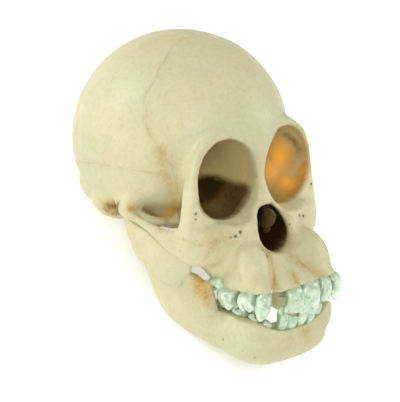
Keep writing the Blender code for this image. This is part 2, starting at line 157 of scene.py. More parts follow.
def nearPath(points, path, reach):
    # which points lie near the path, how far off and how far along in mm, on which side of it
    # seen from the skull's middle, how far past its ends, and the path's whole length
    low, high = path.min(0) - reach, path.max(0) + reach
    near = np.nonzero(((points > low) & (points < high)).all(1))[0]
    spot = points[near]
    start, step = path[:-1], np.diff(path, axis=0)
    length = np.linalg.norm(step, axis=1)
    reached = np.concatenate([[0], np.cumsum(length)])
    best = np.full(len(near), 1e9)
    along = np.zeros(len(near))
    side = np.ones(len(near))
    over = np.zeros(len(near))
    for k in range(len(step)):
        offset = spot - start[k]
        t = offset @ step[k] / length[k] ** 2
        tc = np.clip(t, 0, 1)
        away = offset - tc[:, None] * step[k]
        distance = np.linalg.norm(away, axis=1)
        closer = distance < best
        best[closer] = distance[closer]
        along[closer] = (reached[k] + tc * length[k])[closer]
        across = np.cross(step[k] / length[k], start[k] - skullMiddle)
        side[closer] = np.sign(away @ across)[closer]
        beyond = np.zeros(len(near))
        if k == 0:
            beyond = np.maximum(beyond, -t * length[k])
        if k == len(step) - 1:
            beyond = np.maximum(beyond, (t - 1) * length[k])
        over[closer] = beyond[closer]
    keep = best < reach
    return near[keep], best[keep], along[keep], side[keep], over[keep], reached[-1]


# materials


def newMaterial(name):
    material = bpy.data.materials.new(name)
    material.use_nodes = True
    return material, material.node_tree, material.node_tree.nodes["Principled BSDF"]


def setSockets(shader, values):
    for name, value in values.items():
        shader.inputs[name].default_value = value


def addNode(tree, kind, **settings):
    made = tree.nodes.new(kind)
    for key, value in settings.items():
        if key in made.inputs:
            made.inputs[key].default_value = value
        else:
            setattr(made, key, value)
    return made


def noiseNode(tree, place, size, detail=4.0, rough=0.55):
    # size is in mm
    made = addNode(tree, "ShaderNodeTexNoise", Scale=1 / (size * mm), Detail=detail, Roughness=rough)
    tree.links.new(place, made.inputs["Vector"])
    return made.outputs["Fac"]


def rangeNode(tree, value, low, high, toLow=0.0, toHigh=1.0, smooth=True):
    made = addNode(tree, "ShaderNodeMapRange", clamp=True)
    if smooth:
        made.interpolation_type = "SMOOTHSTEP"
    tree.links.new(value, made.inputs[0])
    for slot, number in zip((1, 2, 3, 4), (low, high, toLow, toHigh)):
        made.inputs[slot].default_value = number
    return made.outputs[0]


def mathNode(tree, operation, first, second):
    made = addNode(tree, "ShaderNodeMath", operation=operation)
    for slot, value in enumerate((first, second)):
        if isinstance(value, (int, float)):
            made.inputs[slot].default_value = value
        else:
            tree.links.new(value, made.inputs[slot])
    return made.outputs[0]


def times(tree, first, second):
    return mathNode(tree, "MULTIPLY", first, second)


def mixColour(tree, amount, under, over, blend="MIX"):
    made = addNode(tree, "ShaderNodeMix", data_type="RGBA", blend_type=blend)
    for slot, value in ((0, amount), (6, under), (7, over)):
        if isinstance(value, (int, float)):
            made.inputs[slot].default_value = value
        elif isinstance(value, tuple):
            made.inputs[slot].default_value = (*value, 1.0)
        else:
            tree.links.new(value, made.inputs[slot])
    return made.outputs[2]


def attributeParts(tree, name):
    found = addNode(tree, "ShaderNodeAttribute", attribute_name=name)
    split = addNode(tree, "ShaderNodeSeparateXYZ")
    tree.links.new(found.outputs["Vector"], split.inputs[0])
    return split.outputs


boneLook = {
    "cream": (0.655, 0.615, 0.375),
    "grey": (0.52, 0.54, 0.33),
    "honey": (0.62, 0.5, 0.24),
    "brown": (0.41, 0.24, 0.045),
    "seam": (0.33, 0.25, 0.125),
    "orange": (0.95, 0.4, 0.02),
    "socket": (0.62, 0.44, 0.15),
    "paintedShade": (0.026, 0.012, 0.003),
    "paintedGlow": (1.0, 0.6, 0.12),
    "roughness": (0.34, 0.52),
    "seamStrength": 0.3,
    "shader": {
        # the emission is the painted glow
        "Emission Strength": 0.2, "Specular IOR Level": 0.35,
        "Subsurface Weight": 0.06, "Subsurface Radius": (1.0, 0.75, 0.45), "Subsurface Scale": 1.0 * mm,
    },
}


def boneMaterial(name, look):
    material, tree, shader = newMaterial(name)
    place = addNode(tree, "ShaderNodeTexCoord").outputs["Object"]
    tone = attributeParts(tree, "tone")  # orange stains and painted glow, brown stains and painted shade, tan painted shade of a socket
    # distance and strength of the seams, and as third part painted shade: grey (A) where the skull lies in
    # shade, near black (B) in its hollows and holes
    seams = [attributeParts(tree, name) for name in ("seamAndShadeA", "seamAndShadeB")]
    grey, paintedShade = seams[0][2], seams[1][2]
    # broad drifts from cream to grey and honey
    drift = rangeNode(tree, noiseNode(tree, place, 38, 3), 0.4, 0.68, 0.0, 0.6)
    colour = mixColour(tree, drift, look["cream"], look["grey"])
    drift = rangeNode(tree, noiseNode(tree, place, 17, 5), 0.52, 0.74, 0.0, 0.35)
    colour = mixColour(tree, drift, colour, look["honey"])
    # painted shade: grey where the skull lies in shade
    colour = mixColour(tree, grey, colour, look["grey"])
    drift = rangeNode(tree, noiseNode(tree, place, 6, 5, 0.65), 0.5, 0.72, 0.0, 0.22)
    colour = mixColour(tree, drift, colour, look["honey"])
    # fine mottling and specks
    fine = noiseNode(tree, place, 2.2, 6, 0.7)
    colour = mixColour(tree, rangeNode(tree, fine, 0.35, 0.75, 0.0, 0.2), colour, look["honey"], "MULTIPLY")
    specks = noiseNode(tree, place, 1.1, 2, 0.5)
    colour = mixColour(tree, rangeNode(tree, specks, 0.7, 0.78, 0.0, 0.55), colour, look["brown"])
    # stains, with painted shade in the hollows and the painted glow in the left orbit
    blotch = noiseNode(tree, place, 7, 5, 0.6)
    brown = times(tree, tone[1], rangeNode(tree, blotch, 0.25, 0.6, 0.55, 1.0))
    speckled = rangeNode(tree, noiseNode(tree, place, 1.5, 4, 0.7), 0.4, 0.6, 0.7, 1.15)
    brown = times(tree, brown, speckled)
    # painted shade: darker, warmer tan inside the orbits, the ear hollows and the nose
    colour = mixColour(tree, tone[2], colour, look["socket"])
    colour = mixColour(tree, brown, colour, look["brown"])
    # orange stains, and the painted glow in the left orbit
    orange = times(tree, tone[0], rangeNode(tree, blotch, 0.2, 0.5, 0.6, 1.0))
    colour = mixColour(tree, orange, colour, look["orange"])
    # painted shade: near black in the orbits, the nose, the ears and the small holes
    colour = mixColour(tree, paintedShade, colour, look["paintedShade"])
    # seams between the bones: a thin wandering brown line
    wander = times(tree, mathNode(tree, "SUBTRACT", noiseNode(tree, place, 2.4, 4), 0.5), 2.0)
    height = None
    strength = look["seamStrength"]
    for part in seams:
        away = mathNode(tree, "ABSOLUTE", mathNode(tree, "ADD", part[0], wander), 0.0)
        broken = rangeNode(tree, noiseNode(tree, place, 3.5, 3), 0.36, 0.58, 0.3, 1.3)
        shown = times(tree, part[1], broken)
        line = times(tree, rangeNode(tree, away, 0.05, 0.5, strength, 0.0), shown)
        stain = times(tree, rangeNode(tree, away, 0.2, 2.8, 0.4 * strength, 0.0), shown)
        colour = mixColour(tree, stain, colour, look["brown"])
        colour = mixColour(tree, line, colour, look["seam"])
        height = line if height is None else mathNode(tree, "MAXIMUM", height, line)
    tree.links.new(colour, shader.inputs["Base Color"])
    # painted glow: an emission stands in for light showing through thin bone
    through = mixColour(tree, times(tree, orange, orange), (0.0, 0.0, 0.0), look["paintedGlow"])
    tree.links.new(through, shader.inputs["Emission Color"])
    # gloss varies softly, pits and seams press in
    low, high = look["roughness"]
    rough = rangeNode(tree, noiseNode(tree, place, 9, 4), 0.3, 0.7, low, high)
    damp = rangeNode(tree, paintedShade, 0.3, 1.0, 0.0, 0.2)
    tree.links.new(mathNode(tree, "SUBTRACT", rough, damp), shader.inputs["Roughness"])
    pits = rangeNode(tree, noiseNode(tree, place, 0.9, 3, 0.6), 0.3, 0.5, 0.0, 1.0)
    grain = times(tree, noiseNode(tree, place, 4.5, 5, 0.6), 0.8)
    pressed = times(tree, height, 1.6)
    relief = mathNode(tree, "SUBTRACT", mathNode(tree, "ADD", pits, grain), pressed)
    bump = addNode(tree, "ShaderNodeBump", Strength=0.22, Distance=0.25 * mm)
    tree.links.new(relief, bump.inputs["Height"])
    tree.links.new(bump.outputs[0], shader.inputs["Normal"])
    setSockets(shader, look["shader"])
    return material


enamelLook = {
    "mint": (0.53, 0.69, 0.48),
    "white": (0.84, 0.905, 0.765),
    "green": (0.23, 0.33, 0.19),
    "root": (0.56, 0.54, 0.33),
    "tartar": (0.11, 0.065, 0.02),
    "shader": {
        "Roughness": 0.22, "Coat Weight": 0.3, "Coat Roughness": 0.12,
        "Subsurface Weight": 0.25, "Subsurface Radius": (0.6, 1.0, 0.7), "Subsurface Scale": 1.0 * mm,
    },
}


def enamelMaterial(look):
    material, tree, shader = newMaterial("enamel")
    place = addNode(tree, "ShaderNodeTexCoord").outputs["Object"]
    crown = attributeParts(tree, "crown")  # height from 0 at the neck to 1, painted shade in grooves and between teeth, own tint
    pale = rangeNode(tree, noiseNode(tree, place, 4, 5), 0.38, 0.62)
    colour = mixColour(tree, pale, look["mint"], look["white"])
    patchy = rangeNode(tree, noiseNode(tree, place, 2.2, 4), 0.5, 0.65)
    dirt = times(tree, rangeNode(tree, crown[0], 0.12, -0.12), patchy)
    layers = (
        ("mint", rangeNode(tree, crown[2], 0.0, 1.0, 0.0, 0.6)),
        ("green", rangeNode(tree, noiseNode(tree, place, 2.4, 5, 0.6), 0.5, 0.66, 0.0, 0.5)),
        # painted shade: dark green in grooves and between teeth
        ("green", rangeNode(tree, crown[1], 0.15, 0.9, 0.0, 0.85)),
        ("green", rangeNode(tree, crown[0], 0.36, 0.04, 0.0, 0.4)),
        ("root", rangeNode(tree, crown[0], 0.1, -0.12, 0.0, 0.7)),
        ("tartar", times(tree, dirt, 0.7)),
    )
    for tint, share in layers:
        colour = mixColour(tree, share, colour, look[tint])
    tree.links.new(colour, shader.inputs["Base Color"])
    bump = addNode(tree, "ShaderNodeBump", Strength=0.2, Distance=0.2 * mm)
    tree.links.new(noiseNode(tree, place, 1.6, 4), bump.inputs["Height"])
    tree.links.new(bump.outputs[0], shader.inputs["Normal"])
    setSockets(shader, look["shader"])
    return material


# bone skins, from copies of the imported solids


def mergedCopy(nodes, name):
    copies = []
    for node in nodes:
        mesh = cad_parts[node].data.copy()
        mesh.materials.clear()
        copies.append(linked(name, mesh))
    piece = joined(copies, name)
    editAll(piece)
    bpy.ops.mesh.remove_doubles(threshold=0.00001)
    editDone()
    piece.data.transform(restMatrix.inverted())
    return piece


def fused(piece, look):
    # swollen a little so that the thin cuts between the solids close, then drawn back
    applied(piece, "DISPLACE", strength=look["swell"] * mm, mid_level=0.0)
    applied(piece, "REMESH", mode="VOXEL", voxel_size=look["voxel"] * mm)
    applied(piece, "SMOOTH", factor=0.5, iterations=look["rounds"])
    applied(piece, "DISPLACE", strength=-look["swell"] * mm, mid_level=0.0)


def coneAt(place, aim, wide, narrow, depth, flat=1.0, roll=0.0):
    # a tapered cutter that starts just outside place and goes in along aim
    aim = Vector(aim).normalized()
    turn = aim.to_track_quat("-Z", "Y").to_matrix().to_4x4() @ Matrix.Rotation(math.radians(roll), 4, "Z")
    length = depth + 3
    bpy.ops.object.select_all(action="DESELECT")
    bpy.ops.mesh.primitive_cone_add(vertices=20, radius1=narrow * mm, radius2=wide * mm, depth=length * mm)
    piece = bpy.context.object
    piece.data.transform(Matrix.Diagonal((1, flat, 1, 1)))
    middle = Vector(place) + aim * (depth - 3) / 2
    piece.data.transform(Matrix.Translation(middle * mm) @ turn)
    return piece


def keepLargest(piece):
    editAll(piece)
    bpy.ops.mesh.separate(type="LOOSE")
    editDone()
    found = sorted(bpy.context.selected_objects, key=lambda other: len(other.data.vertices))
    name = piece.name
    for scrap in found[:-1]:
        bpy.data.objects.remove(scrap)
    found[-1].name = name
    return found[-1]


def cutAway(piece, cutters):
    tool = joined(cutters, "cutter")
    applied(piece, "BOOLEAN", object=tool, operation="DIFFERENCE", solver="MANIFOLD")
    bpy.data.objects.remove(tool)
    return keepLargest(piece)


def refined(piece, look):
    applied(piece, "REMESH", mode="VOXEL", voxel_size=look["fineVoxel"] * mm)
    applied(piece, "SMOOTH", factor=0.5, iterations=2)


def ridge(stations):
    # overlapping rounds along a line of places, with their half sizes across, along and up
    made = []
    for place in smoothPath(stations, 4):
        for side in sides.values():
            piece = unitRound(24, 16)
            points = pointsOf(piece) * mm * place[3:6] + place[:3] * np.array([side, 1, 1])
            setPoints(piece, points)
            made.append(piece)
    return made


craniumLook = {
    "swell": 0.3, "voxel": 0.8, "rounds": 5, "fineVoxel": 0.66, "triangles": 190000,
    "relief": ((0.3, 22, 0), (0.09, 7, 5)), "roots": (0.55, 13),
    "seam": 0.16, "seamBank": 0.08, "temporal": 0.3,
}
# closes the upper corner of the gap between the cheek arch and the skull's side
archCorner = [
    (43, 1.5, 66, 3.2, 3.2, 3), (41.5, -3, 64.2, 3.2, 3, 2.6), (38.5, -6.5, 62.8, 3.4, 3, 2.2),
    (35, -9, 62.2, 3.4, 3, 2.2),
]
cranium = mergedCopy(("braincase", "cheekbone_right", "cheekbone_left", "upper_jaw"), "cranium")
cranium = joined([cranium, *ridge(archCorner)], "cranium")
fused(cranium, craniumLook)
print("cranium fused", len(cranium.data.vertices))

# the plain crowns go, and modelled teeth take their place
gumPlane = {"through": (0, -45, 37.0), "facing": (0, 0.078, 1)}
editAll(cranium)
bpy.ops.mesh.bisect(
    plane_co=Vector(gumPlane["through"]) * mm, plane_no=gumPlane["facing"], use_fill=True, clear_inner=True,
    threshold=1e-7,
)
editDone()
refined(cranium, craniumLook)
cranium = keepLargest(cranium)
print("cranium trimmed", len(cranium.data.vertices))

# tooth rows, shared by the bone that carries them and the teeth themselves

upperRow = [
    (0, -65.4, 38.8), (8, -65.4, 38.8), (15.5, -65, 38.8), (20.8, -63.2, 38.6), (23.5, -59.4, 38.2),
    (24, -52.6, 37.8), (23.5, -44, 37.2), (22.8, -33, 36.8), (22.2, -24, 36.4),
]
lowerRow = [
    (0, -60.6, 16.5), (8, -60.6, 17.2), (15.2, -60, 19.8), (20, -57.3, 23), (22.2, -51.5, 24),
    (22.6, -44, 24.8), (22.4, -34, 25), (22.2, -24, 25),
]
# kind, width, thickness, height of the crown
upperTeeth = [
    ("incisor", 9.4, 5.6, 11.8), ("incisor", 7.6, 5, 10.8), ("canine", 7.4, 6.6, 12),
    ("molar", 9.2, 8.4, 6.6), ("molar", 10.2, 9, 6.4), ("molar", 10.8, 9.4, 6.2),
]
lowerTeeth = [
    ("incisor", 5.6, 4.8, 11.6), ("incisor", 6.1, 5, 10.8), ("canine", 7, 6, 7.8),
    ("molar", 8.2, 6.6, 4), ("molar", 9.6, 7.2, 3.8), ("molar", 10.6, 7.6, 4),
]
teethLook = {"spacing": 0.25, "missing": ("right", 1), "rowMiddle": (0, -42)}


def rowSpots(row, teeth):
    # each tooth's place on the gum line and the direction of the row there, for the left side
    line = smoothPath(row, 24)
    reach = np.concatenate([[0], np.cumsum(np.linalg.norm(np.diff(line, axis=0), axis=1))])
    found = []
    edge = 0.0
    for tooth in teeth:
        middle = edge + (teethLook["spacing"] + tooth[1]) / 2
        edge += tooth[1] + teethLook["spacing"]
        place = np.array([np.interp(middle, reach, line[:, i]) for i in range(3)])
        ahead = np.array([np.interp(middle + 0.6, reach, line[:, i]) for i in range(3)])
        along = (ahead - place) / np.linalg.norm(ahead - place)
        out = np.cross(along, (0, 0, 1.0))
        out /= np.linalg.norm(out)
        if out[:2] @ (place[:2] - np.array(teethLook["rowMiddle"])) < 0:
            out = -out
        found.append((place, along, out))
    return found


def rootSwellings(points, row, teeth, up, rise):
    # the bone bulges over each root and dips between two
    total = np.zeros(len(points))
    for side in sides.values():
        for (place, along, out), tooth in zip(rowSpots(row, teeth), teeth):
            flip = np.array([side, 1, 1])
            offset = points - place * flip
            across = offset @ (along * flip)
            outwardsBy = offset @ (out * flip)
            height = offset[:, 2] * up
            length = rise * (1.5 if tooth[0] == "canine" else 1.0 if tooth[0] == "incisor" else 0.7)
            shown = ramp(outwardsBy, -1.0, 1.5) * ramp(height, -2, 2)
            shown *= 1 - ramp(height, length * 0.4, length)
            half = tooth[1] / 2
            bulge = bell(across, half * 0.62)
            dip = bell(abs(across) - half, 1.1)
            total += shown * (bulge - 0.35 * dip)
    return total


# seams between the bones, each a path over the surface of the upright skull

seamPaths = {
    "coronal": [
        (0, 4, 142), (-9.6, 6.7, 140.5), (-22.5, 1.7, 134.4), (-28, 0.8, 130.3), (-30.1, -1, 127.7),
        (-37.3, -1, 118.7), (-38.6, -3.8, 114.9), (-40.4, -4.5, 110.2), (-40.7, -8.2, 104.1),
        (-39, -13, 98.7),
    ],
    "sphenoid": [
        (-37.9, -15.2, 96.7), (-37.5, -16, 93.5), (-36.1, -17.8, 90.4), (-35.4, -18.3, 86.6),
        (-33, -19, 78),
    ],
    "squamous": [
        (-38.9, 48.3, 79.1), (-46, 30, 84), (-47.5, 19.4, 86), (-45.2, -0.1, 87.1), (-41.5, -8.9, 86.7),
        (-37.2, -15.7, 85.9),
    ],
    "lambdoid": [
        (0, 68, 112), (-14, 66, 106), (-28, 60, 96), (-38, 50, 84), (-42, 38, 72),
    ],
    "cheekMaxilla": [
        (-25.5, -36.5, 67.5), (-27.5, -40.5, 64), (-30, -41.5, 61), (-33.5, -40, 56), (-35, -37.5, 50),
    ],
    "cheekArch": [(-44.5, -22, 66), (-46, -19, 61), (-45, -18, 56)],
    "browCheek": [(-34.5, -33, 95), (-36.5, -29, 94.5), (-36, -25, 95)],
}
middleSeams = {
    "sagittal": [(0, 4, 142), (0, 20, 142), (0, 40, 137), (0, 58, 124), (0, 68, 112)],
    "nasal": [(0, -35, 88), (0, -37, 80), (0, -41, 70)],
}
# beside and between the roots of the front teeth, each with its depth in mm
grooves = {
    "premaxillaRight": (0.75, [
        (-8.5, -50.5, 55.5), (-11.7, -54.9, 52.7), (-14.5, -59.5, 47.5), (-17.2, -63.2, 42),
        (-18.3, -66.3, 37.4),
    ]),
    "premaxillaLeft": (0.75, [
        (3.5, -52.5, 51), (6.5, -56.5, 48.5), (9, -62, 43), (11.5, -66, 37.5),
    ]),
    "middle": (0.45, [(-2.1, -54.7, 49.9), (-2.3, -60.7, 44.8), (-4.0, -67.0, 39.9)]),
}
# a low ridge from the brow back over the side of the vault
temporalLine = [
    (33, -31, 99), (32, -24, 106), (32.5, -14, 115), (35, 0, 120), (38, 18, 119), (40, 36, 109), (40, 50, 94),
]


# seams of one group stay clear of each other
seamGroups = (
    ("coronal", "squamous", "cheekMaxilla", "cheekArch", "browCheek", "sagittal"),
    ("sphenoid", "lambdoid", "nasal"),
)


def seamParts(points, reach=3.0):
    # for both groups of seams: signed distance and strength at each point
    found = []
    for names in seamGroups:
        away = np.full(len(points), reach + 1.0)
        strength = np.zeros(len(points))
        for name in names:
            middle = name in middleSeams
            base = np.array((middleSeams if middle else seamPaths)[name], float)
            for side in (1,) if middle else (-1, 1):
                path = smoothPath(base * np.array([1 if middle else -side, 1, 1]), 8)
                near, best, along, where, over, _ = nearPath(points, path, reach + 1)
                closer = best < np.abs(away[near])
                spot = near[closer]
                away[spot] = (best * where)[closer]
                fade = (1 - ramp(over[closer], 0.0, 1.5)) * (1 - ramp(best[closer], 1.8, reach))
                patchy = 0.72 + 0.28 * np.sin(along[closer] * 0.35 + 7 * len(name))
                strength[spot] = fade * patchy
        found.append((away, strength))
    return found


# small holes where nerves and vessels leave the bone

def bothSides(spots):
    return [((side * x, y, z), *sizes) for (x, y, z), *sizes in spots for side in sides.values()]


# each with place, radius and depth
holeSpots = [
    ((-21.9, -44.5, 61.2), 0.65, 5), ((-19.3, -44.8, 62.6), 0.7, 5), ((-24.3, -44, 61), 0.35, 3),
    ((20.8, -44.5, 61.6), 0.65, 5), ((17.6, -44.8, 62.6), 0.55, 5), ((-36.5, -34.2, 72.3), 0.6, 4),
    ((-36.5, -34, 69.8), 0.3, 3), ((36.4, -34, 71.5), 0.6, 4), ((-8.9, -46, 61.7), 0.55, 3),
    ((-11.7, -54.9, 52.7), 0.7, 4), ((-13.8, -53.8, 55.2), 0.45, 3), ((9.6, -47, 60.5), 0.5, 3),
    ((-5.2, -37.6, 83.5), 0.4, 2.5), ((4.5, -37.6, 86.5), 0.35, 2.5),
]
holeSpots += bothSides([
    ((16.5, 3.5, 56.5), 2, 5), ((16.5, 13, 56), 2.4, 6),
    ((19.5, 22.5, 56), 2.2, 6), ((9, -24, 45.5), 1.3, 4),
])
holeSpots.append(((0, -50, 44), 1.8, 4))


def holeCutters(piece, spots):
    made = []
    for place, radius, depth in spots:
        _, where, normal, _ = piece.closest_point_on_mesh(Vector(place) * mm)
        made.append(coneAt(where / mm, -normal, radius, radius * 0.5, depth))
    return made


def orbitCutters():
    # the canal and the slit at the back of each orbit
    made = []
    for side in sides.values():
        made.append(coneAt((9.5 * side, -4.5, 84), (-0.25 * side, 1, 0.05), 2.3, 1.8, 7))
        made.append(coneAt((13.5 * side, -6, 82), (0.1 * side, 1, 0.0), 3.6, 2.2, 6, 0.34, 62 * side))
    return made


cranium = cutAway(cranium, [*holeCutters(cranium, holeSpots), *orbitCutters()])
print("cranium opened", len(cranium.data.vertices))


def uneven(points, look):
    # layers of soft unevenness, each with its height and size in mm and its shift
    return sum(height * noiseAt(points, size, shift) for height, size, shift in look["relief"])


def sculptCranium(piece, look):
    points, out = pointsOf(piece), normalsOf(piece)
    swelling, rise = look["roots"]
    move = uneven(points, look) + swelling * rootSwellings(points, upperRow, upperTeeth, 1, rise)
    for away, strength in seamParts(points):
        move -= look["seam"] * strength * bell(away, 0.7)
        move += look["seamBank"] * strength * bell(away, 2.4)
    for deep, path in grooves.values():
        near, best, _, _, over, _ = nearPath(points, smoothPath(path, 8), 6)
        move[near] -= deep * bell(best, 1.9) * (1 - ramp(over, 0, 3))
    for side in sides.values():
        path = smoothPath(np.array(temporalLine) * np.array([side, 1, 1]), 8)
        near, best, along, _, over, total = nearPath(points, path, 7)
        height = look["temporal"] * bell(best, 2.4) * (1 - ramp(along, total * 0.3, total))
        move[near] += height * (1 - ramp(over, 0, 4))
    setPoints(piece, points + out * move[:, None])


sculptCranium(cranium, craniumLook)
kept = min(1.0, craniumLook["triangles"] / (2 * len(cranium.data.vertices)))
applied(cranium, "DECIMATE", ratio=kept, use_collapse_triangulate=True)
print("cranium sculpted", len(cranium.data.polygons))

# stains, the painted glow and some painted shade: place, reach in mm, how strong
stainsAndPaintedLight = {
    # painted glow: orange light inside the left orbit
    "paintedGlow": [
        ((29.5, -20, 84), (6, 6, 8), 1), ((28.7, -26.4, 72), (6, 6, 5.5), 1),
        ((26, -17, 77), (6, 6, 8), 0.9), ((33.5, -30, 77), (3, 4, 8), 0.7),
        ((30, -23, 79), (7, 8, 12), 0.55),
    ],
    "orange": [
        # the two on the next line, behind the upper molars, are partly stain and partly painted shade of the
        # hollow there
        ((-33, -32, 39), (2.4, 3.2, 3.2), 0.42), ((-31.5, -33.5, 36), (3, 3.6, 5), 0.22),
        ((-27, -27, 31), (4, 6, 8), 0.4), ((-15.5, -60, 46), (1.4, 6, 7), 0.1),
    ],
    "brown": [
        ((-2.5, -37, 82), (5, 5, 9), 0.35), ((-8, -46, 60), (4, 6, 12), 0.28),
        ((-31, -41, 60), (7, 5, 4.5), 0.42), ((22, -50, 58), (8, 8, 8), 0.35),
        ((-47, -4, 67), (4, 8, 3), 0.4), ((-37, -14, 88), (5, 5, 12), 0.4),
        ((-36.7, -17, 91), (4, 4, 9), 0.34), ((-34.4, -18.5, 80), (3, 5, 9), 0.5),
        ((-31, -13.5, 70), (5, 8, 7), 0.6), ((-33, -2, 64), (6, 11, 3.5), 0.55),
        # the pair at both ears, at the end of the next line, is painted shade in the ear hollows
        ((-38, 7, 66.5), (5, 6, 3), 0.5), *bothSides([((43, 16, 64), (7, 8, 4.6), 0.95)]),
        ((-46.5, 0, 64), (4, 6, 3), 0.25), ((-46.5, 8, 62), (5, 5, 4), 0.35),
        # the two on the next line, behind the upper molars, are partly stain and partly painted shade of the
        # hollow there
        ((-32.6, -32.4, 37), (3, 3.6, 5.5), 1), ((-33, -36.5, 34), (3, 3, 5), 1),
        ((-32.5, -37, 29.5), (3, 3, 3.5), 0.6), ((-30, -33.5, 97), (4, 3, 5), 0.15),
        ((-3, -37, 86), (5, 4, 10), 0.28), ((-26, -43, 60), (6, 4, 5), 0.3),
        ((-12.6, -58.4, 49), (2.2, 6, 7), 0.6), ((-17, -64, 41), (2.5, 4, 4), 0.5),
        ((4.8, -57.5, 48), (3, 6, 5), 0.55), ((9, -65, 40), (3, 4, 4), 0.5),
        ((-4.6, -64.4, 43), (3, 3, 4), 0.45), ((2, -49, 52), (6, 3, 3), 0.65),
        ((10.5, -44, 62), (3, 5, 8), 0.5), ((4.6, -63.6, 14.5), (3.5, 3, 3.5), 0.55),
        ((-3, -37, 72), (7, 4, 4), 0.35), ((-32, -39.6, 50), (4, 3, 4), 0.22),
        ((0, 20, 55), (22, 18, 5), 0.3), ((0, 38, 52), (16, 14, 6), 0.5), ((0, -30, 42), (14, 22, 5), 0.4),
        ((34.4, -18.5, 80), (3, 4, 9), 0.45), ((32.2, -14.5, 70), (4, 8, 6), 0.55),
        ((36.7, -17, 91), (4, 4, 9), 0.3),
    ],
}


def spotted(points, spots):
    total = np.zeros(len(points))
    for place, reach, strength in spots:
        away = (points - np.array(place)) / np.array(reach)
        total = np.maximum(total, strength * np.exp(-(away**2).sum(1)))
    return total


orbit = {"middle": (18.4, -34.7, 84.3), "width": 31.6, "height": 36.6}
nose = {"sill": (0, -49, 50.4), "top": (0, -41.5, 70.5), "width": 19.0}


def softened(piece, values, rounds):
    # each point's value drawn towards the mean of its neighbours
    ends = np.empty(len(piece.data.edges) * 2, np.int32)
    piece.data.edges.foreach_get("vertices", ends)
    first, second = ends.reshape(-1, 2).T
    count = np.bincount(ends, minlength=len(values))
    for _ in range(rounds):
        total = np.bincount(first, values[second], len(values))
        total += np.bincount(second, values[first], len(values))
        values = 0.4 * values + 0.6 * total / np.maximum(count, 1)
    return values


def orbitShare(points, side):
    # 1 on the rim of an orbit's opening, less inside it, seen from the front
    across = (points[:, 0] - orbit["middle"][0] * side) / (orbit["width"] / 2 + 1)
    high = (points[:, 2] - orbit["middle"][2]) / (orbit["height"] / 2 + 1)
    return across**2 + high**2


def insideOrbit(points, out, side):
    # 1 on an orbit's inner walls, 0 on its rim and outside
    inwards = points[:, 1] - orbit["middle"][1]
    across, high = orbit["middle"][0] * side - points[:, 0], orbit["middle"][2] - points[:, 2]
    facing = (across * out[:, 0] + high * out[:, 2]) / (np.hypot(across, high) + 1) - 0.5 * out[:, 1]
    share = orbitShare(points, side)
    return (1 - ramp(share, 0.98, 1.2)) * ramp(inwards, -1.5, 2.5) * (inwards < 60) * ramp(facing, -0.1, 0.2)


def socketParts(points, out, side):
    # inside an orbit, painted shade: tan above, dark brown below and nearly black at the back of the right
    # one
    inwards = points[:, 1] - orbit["middle"][1]
    share, inside = orbitShare(points, side), insideOrbit(points, out, side)
    if side > 0:
        ring = ramp(share, 0.4, 0.95) * (1 - 0.7 * ramp(points[:, 2], 84, 94))
        tanShade = inside * (0.75 - 0.35 * ramp(points[:, 2], 86, 96))
        return tanShade, inside * 0.75 * ring, inside * np.maximum(0.25 * ring, 0.6 * ramp(inwards, 27, 36))
    ragged = 1.6 * noiseAt(points, 5, 31) + 0.7 * noiseAt(points, 1.6, 3)
    low = 1 - ramp(points[:, 2] + ragged, 76.0, 80.0)
    floorByRim = 1 - ramp(points[:, 2] - 0.6 * inwards, 58, 66)
    paintedShade = low * np.maximum(0.85 - 0.14 * floorByRim, ramp(inwards, 10, 19))
    return inside * 0.5, inside * np.maximum(0.12, low), inside * paintedShade


def noseShare(points):
    # 1 on the rim of the nose's opening, less inside it
    high = (points[:, 2] - nose["sill"][2]) / (nose["top"][2] - nose["sill"][2])
    half = nose["width"] / 2 * (1 - 0.55 * np.maximum(0, high - 0.45))
    return abs(points[:, 0] / half) ** 2.2 + abs(2 * high - 1) ** 2.2


# painted shade in hollows: place on the left side and reach in mm, how dark, and where that starts and ends
# to fade
hollows = {
    "earCanal": ((34, 12.8, 65.2), (6, 3.0, 3.0), 0.95, 0.5, 1.3),
    "earFront": ((46, 8.6, 66.5), (4.5, 2.2, 4.4), 0.8, 0.4, 1.15),
    "foramen": ((0, 34, 62), (12, 14, 12), 0.9, 0.7, 1.1),
}
earBowl = ((43, 16, 64), (7, 7.5, 4.6))


def awayFrom(points, place, reach, side):
    # distance from a hollow's middle, in shares of its reach
    return np.linalg.norm((points - np.array(place) * np.array([side, 1, 1])) / np.array(reach), axis=1)


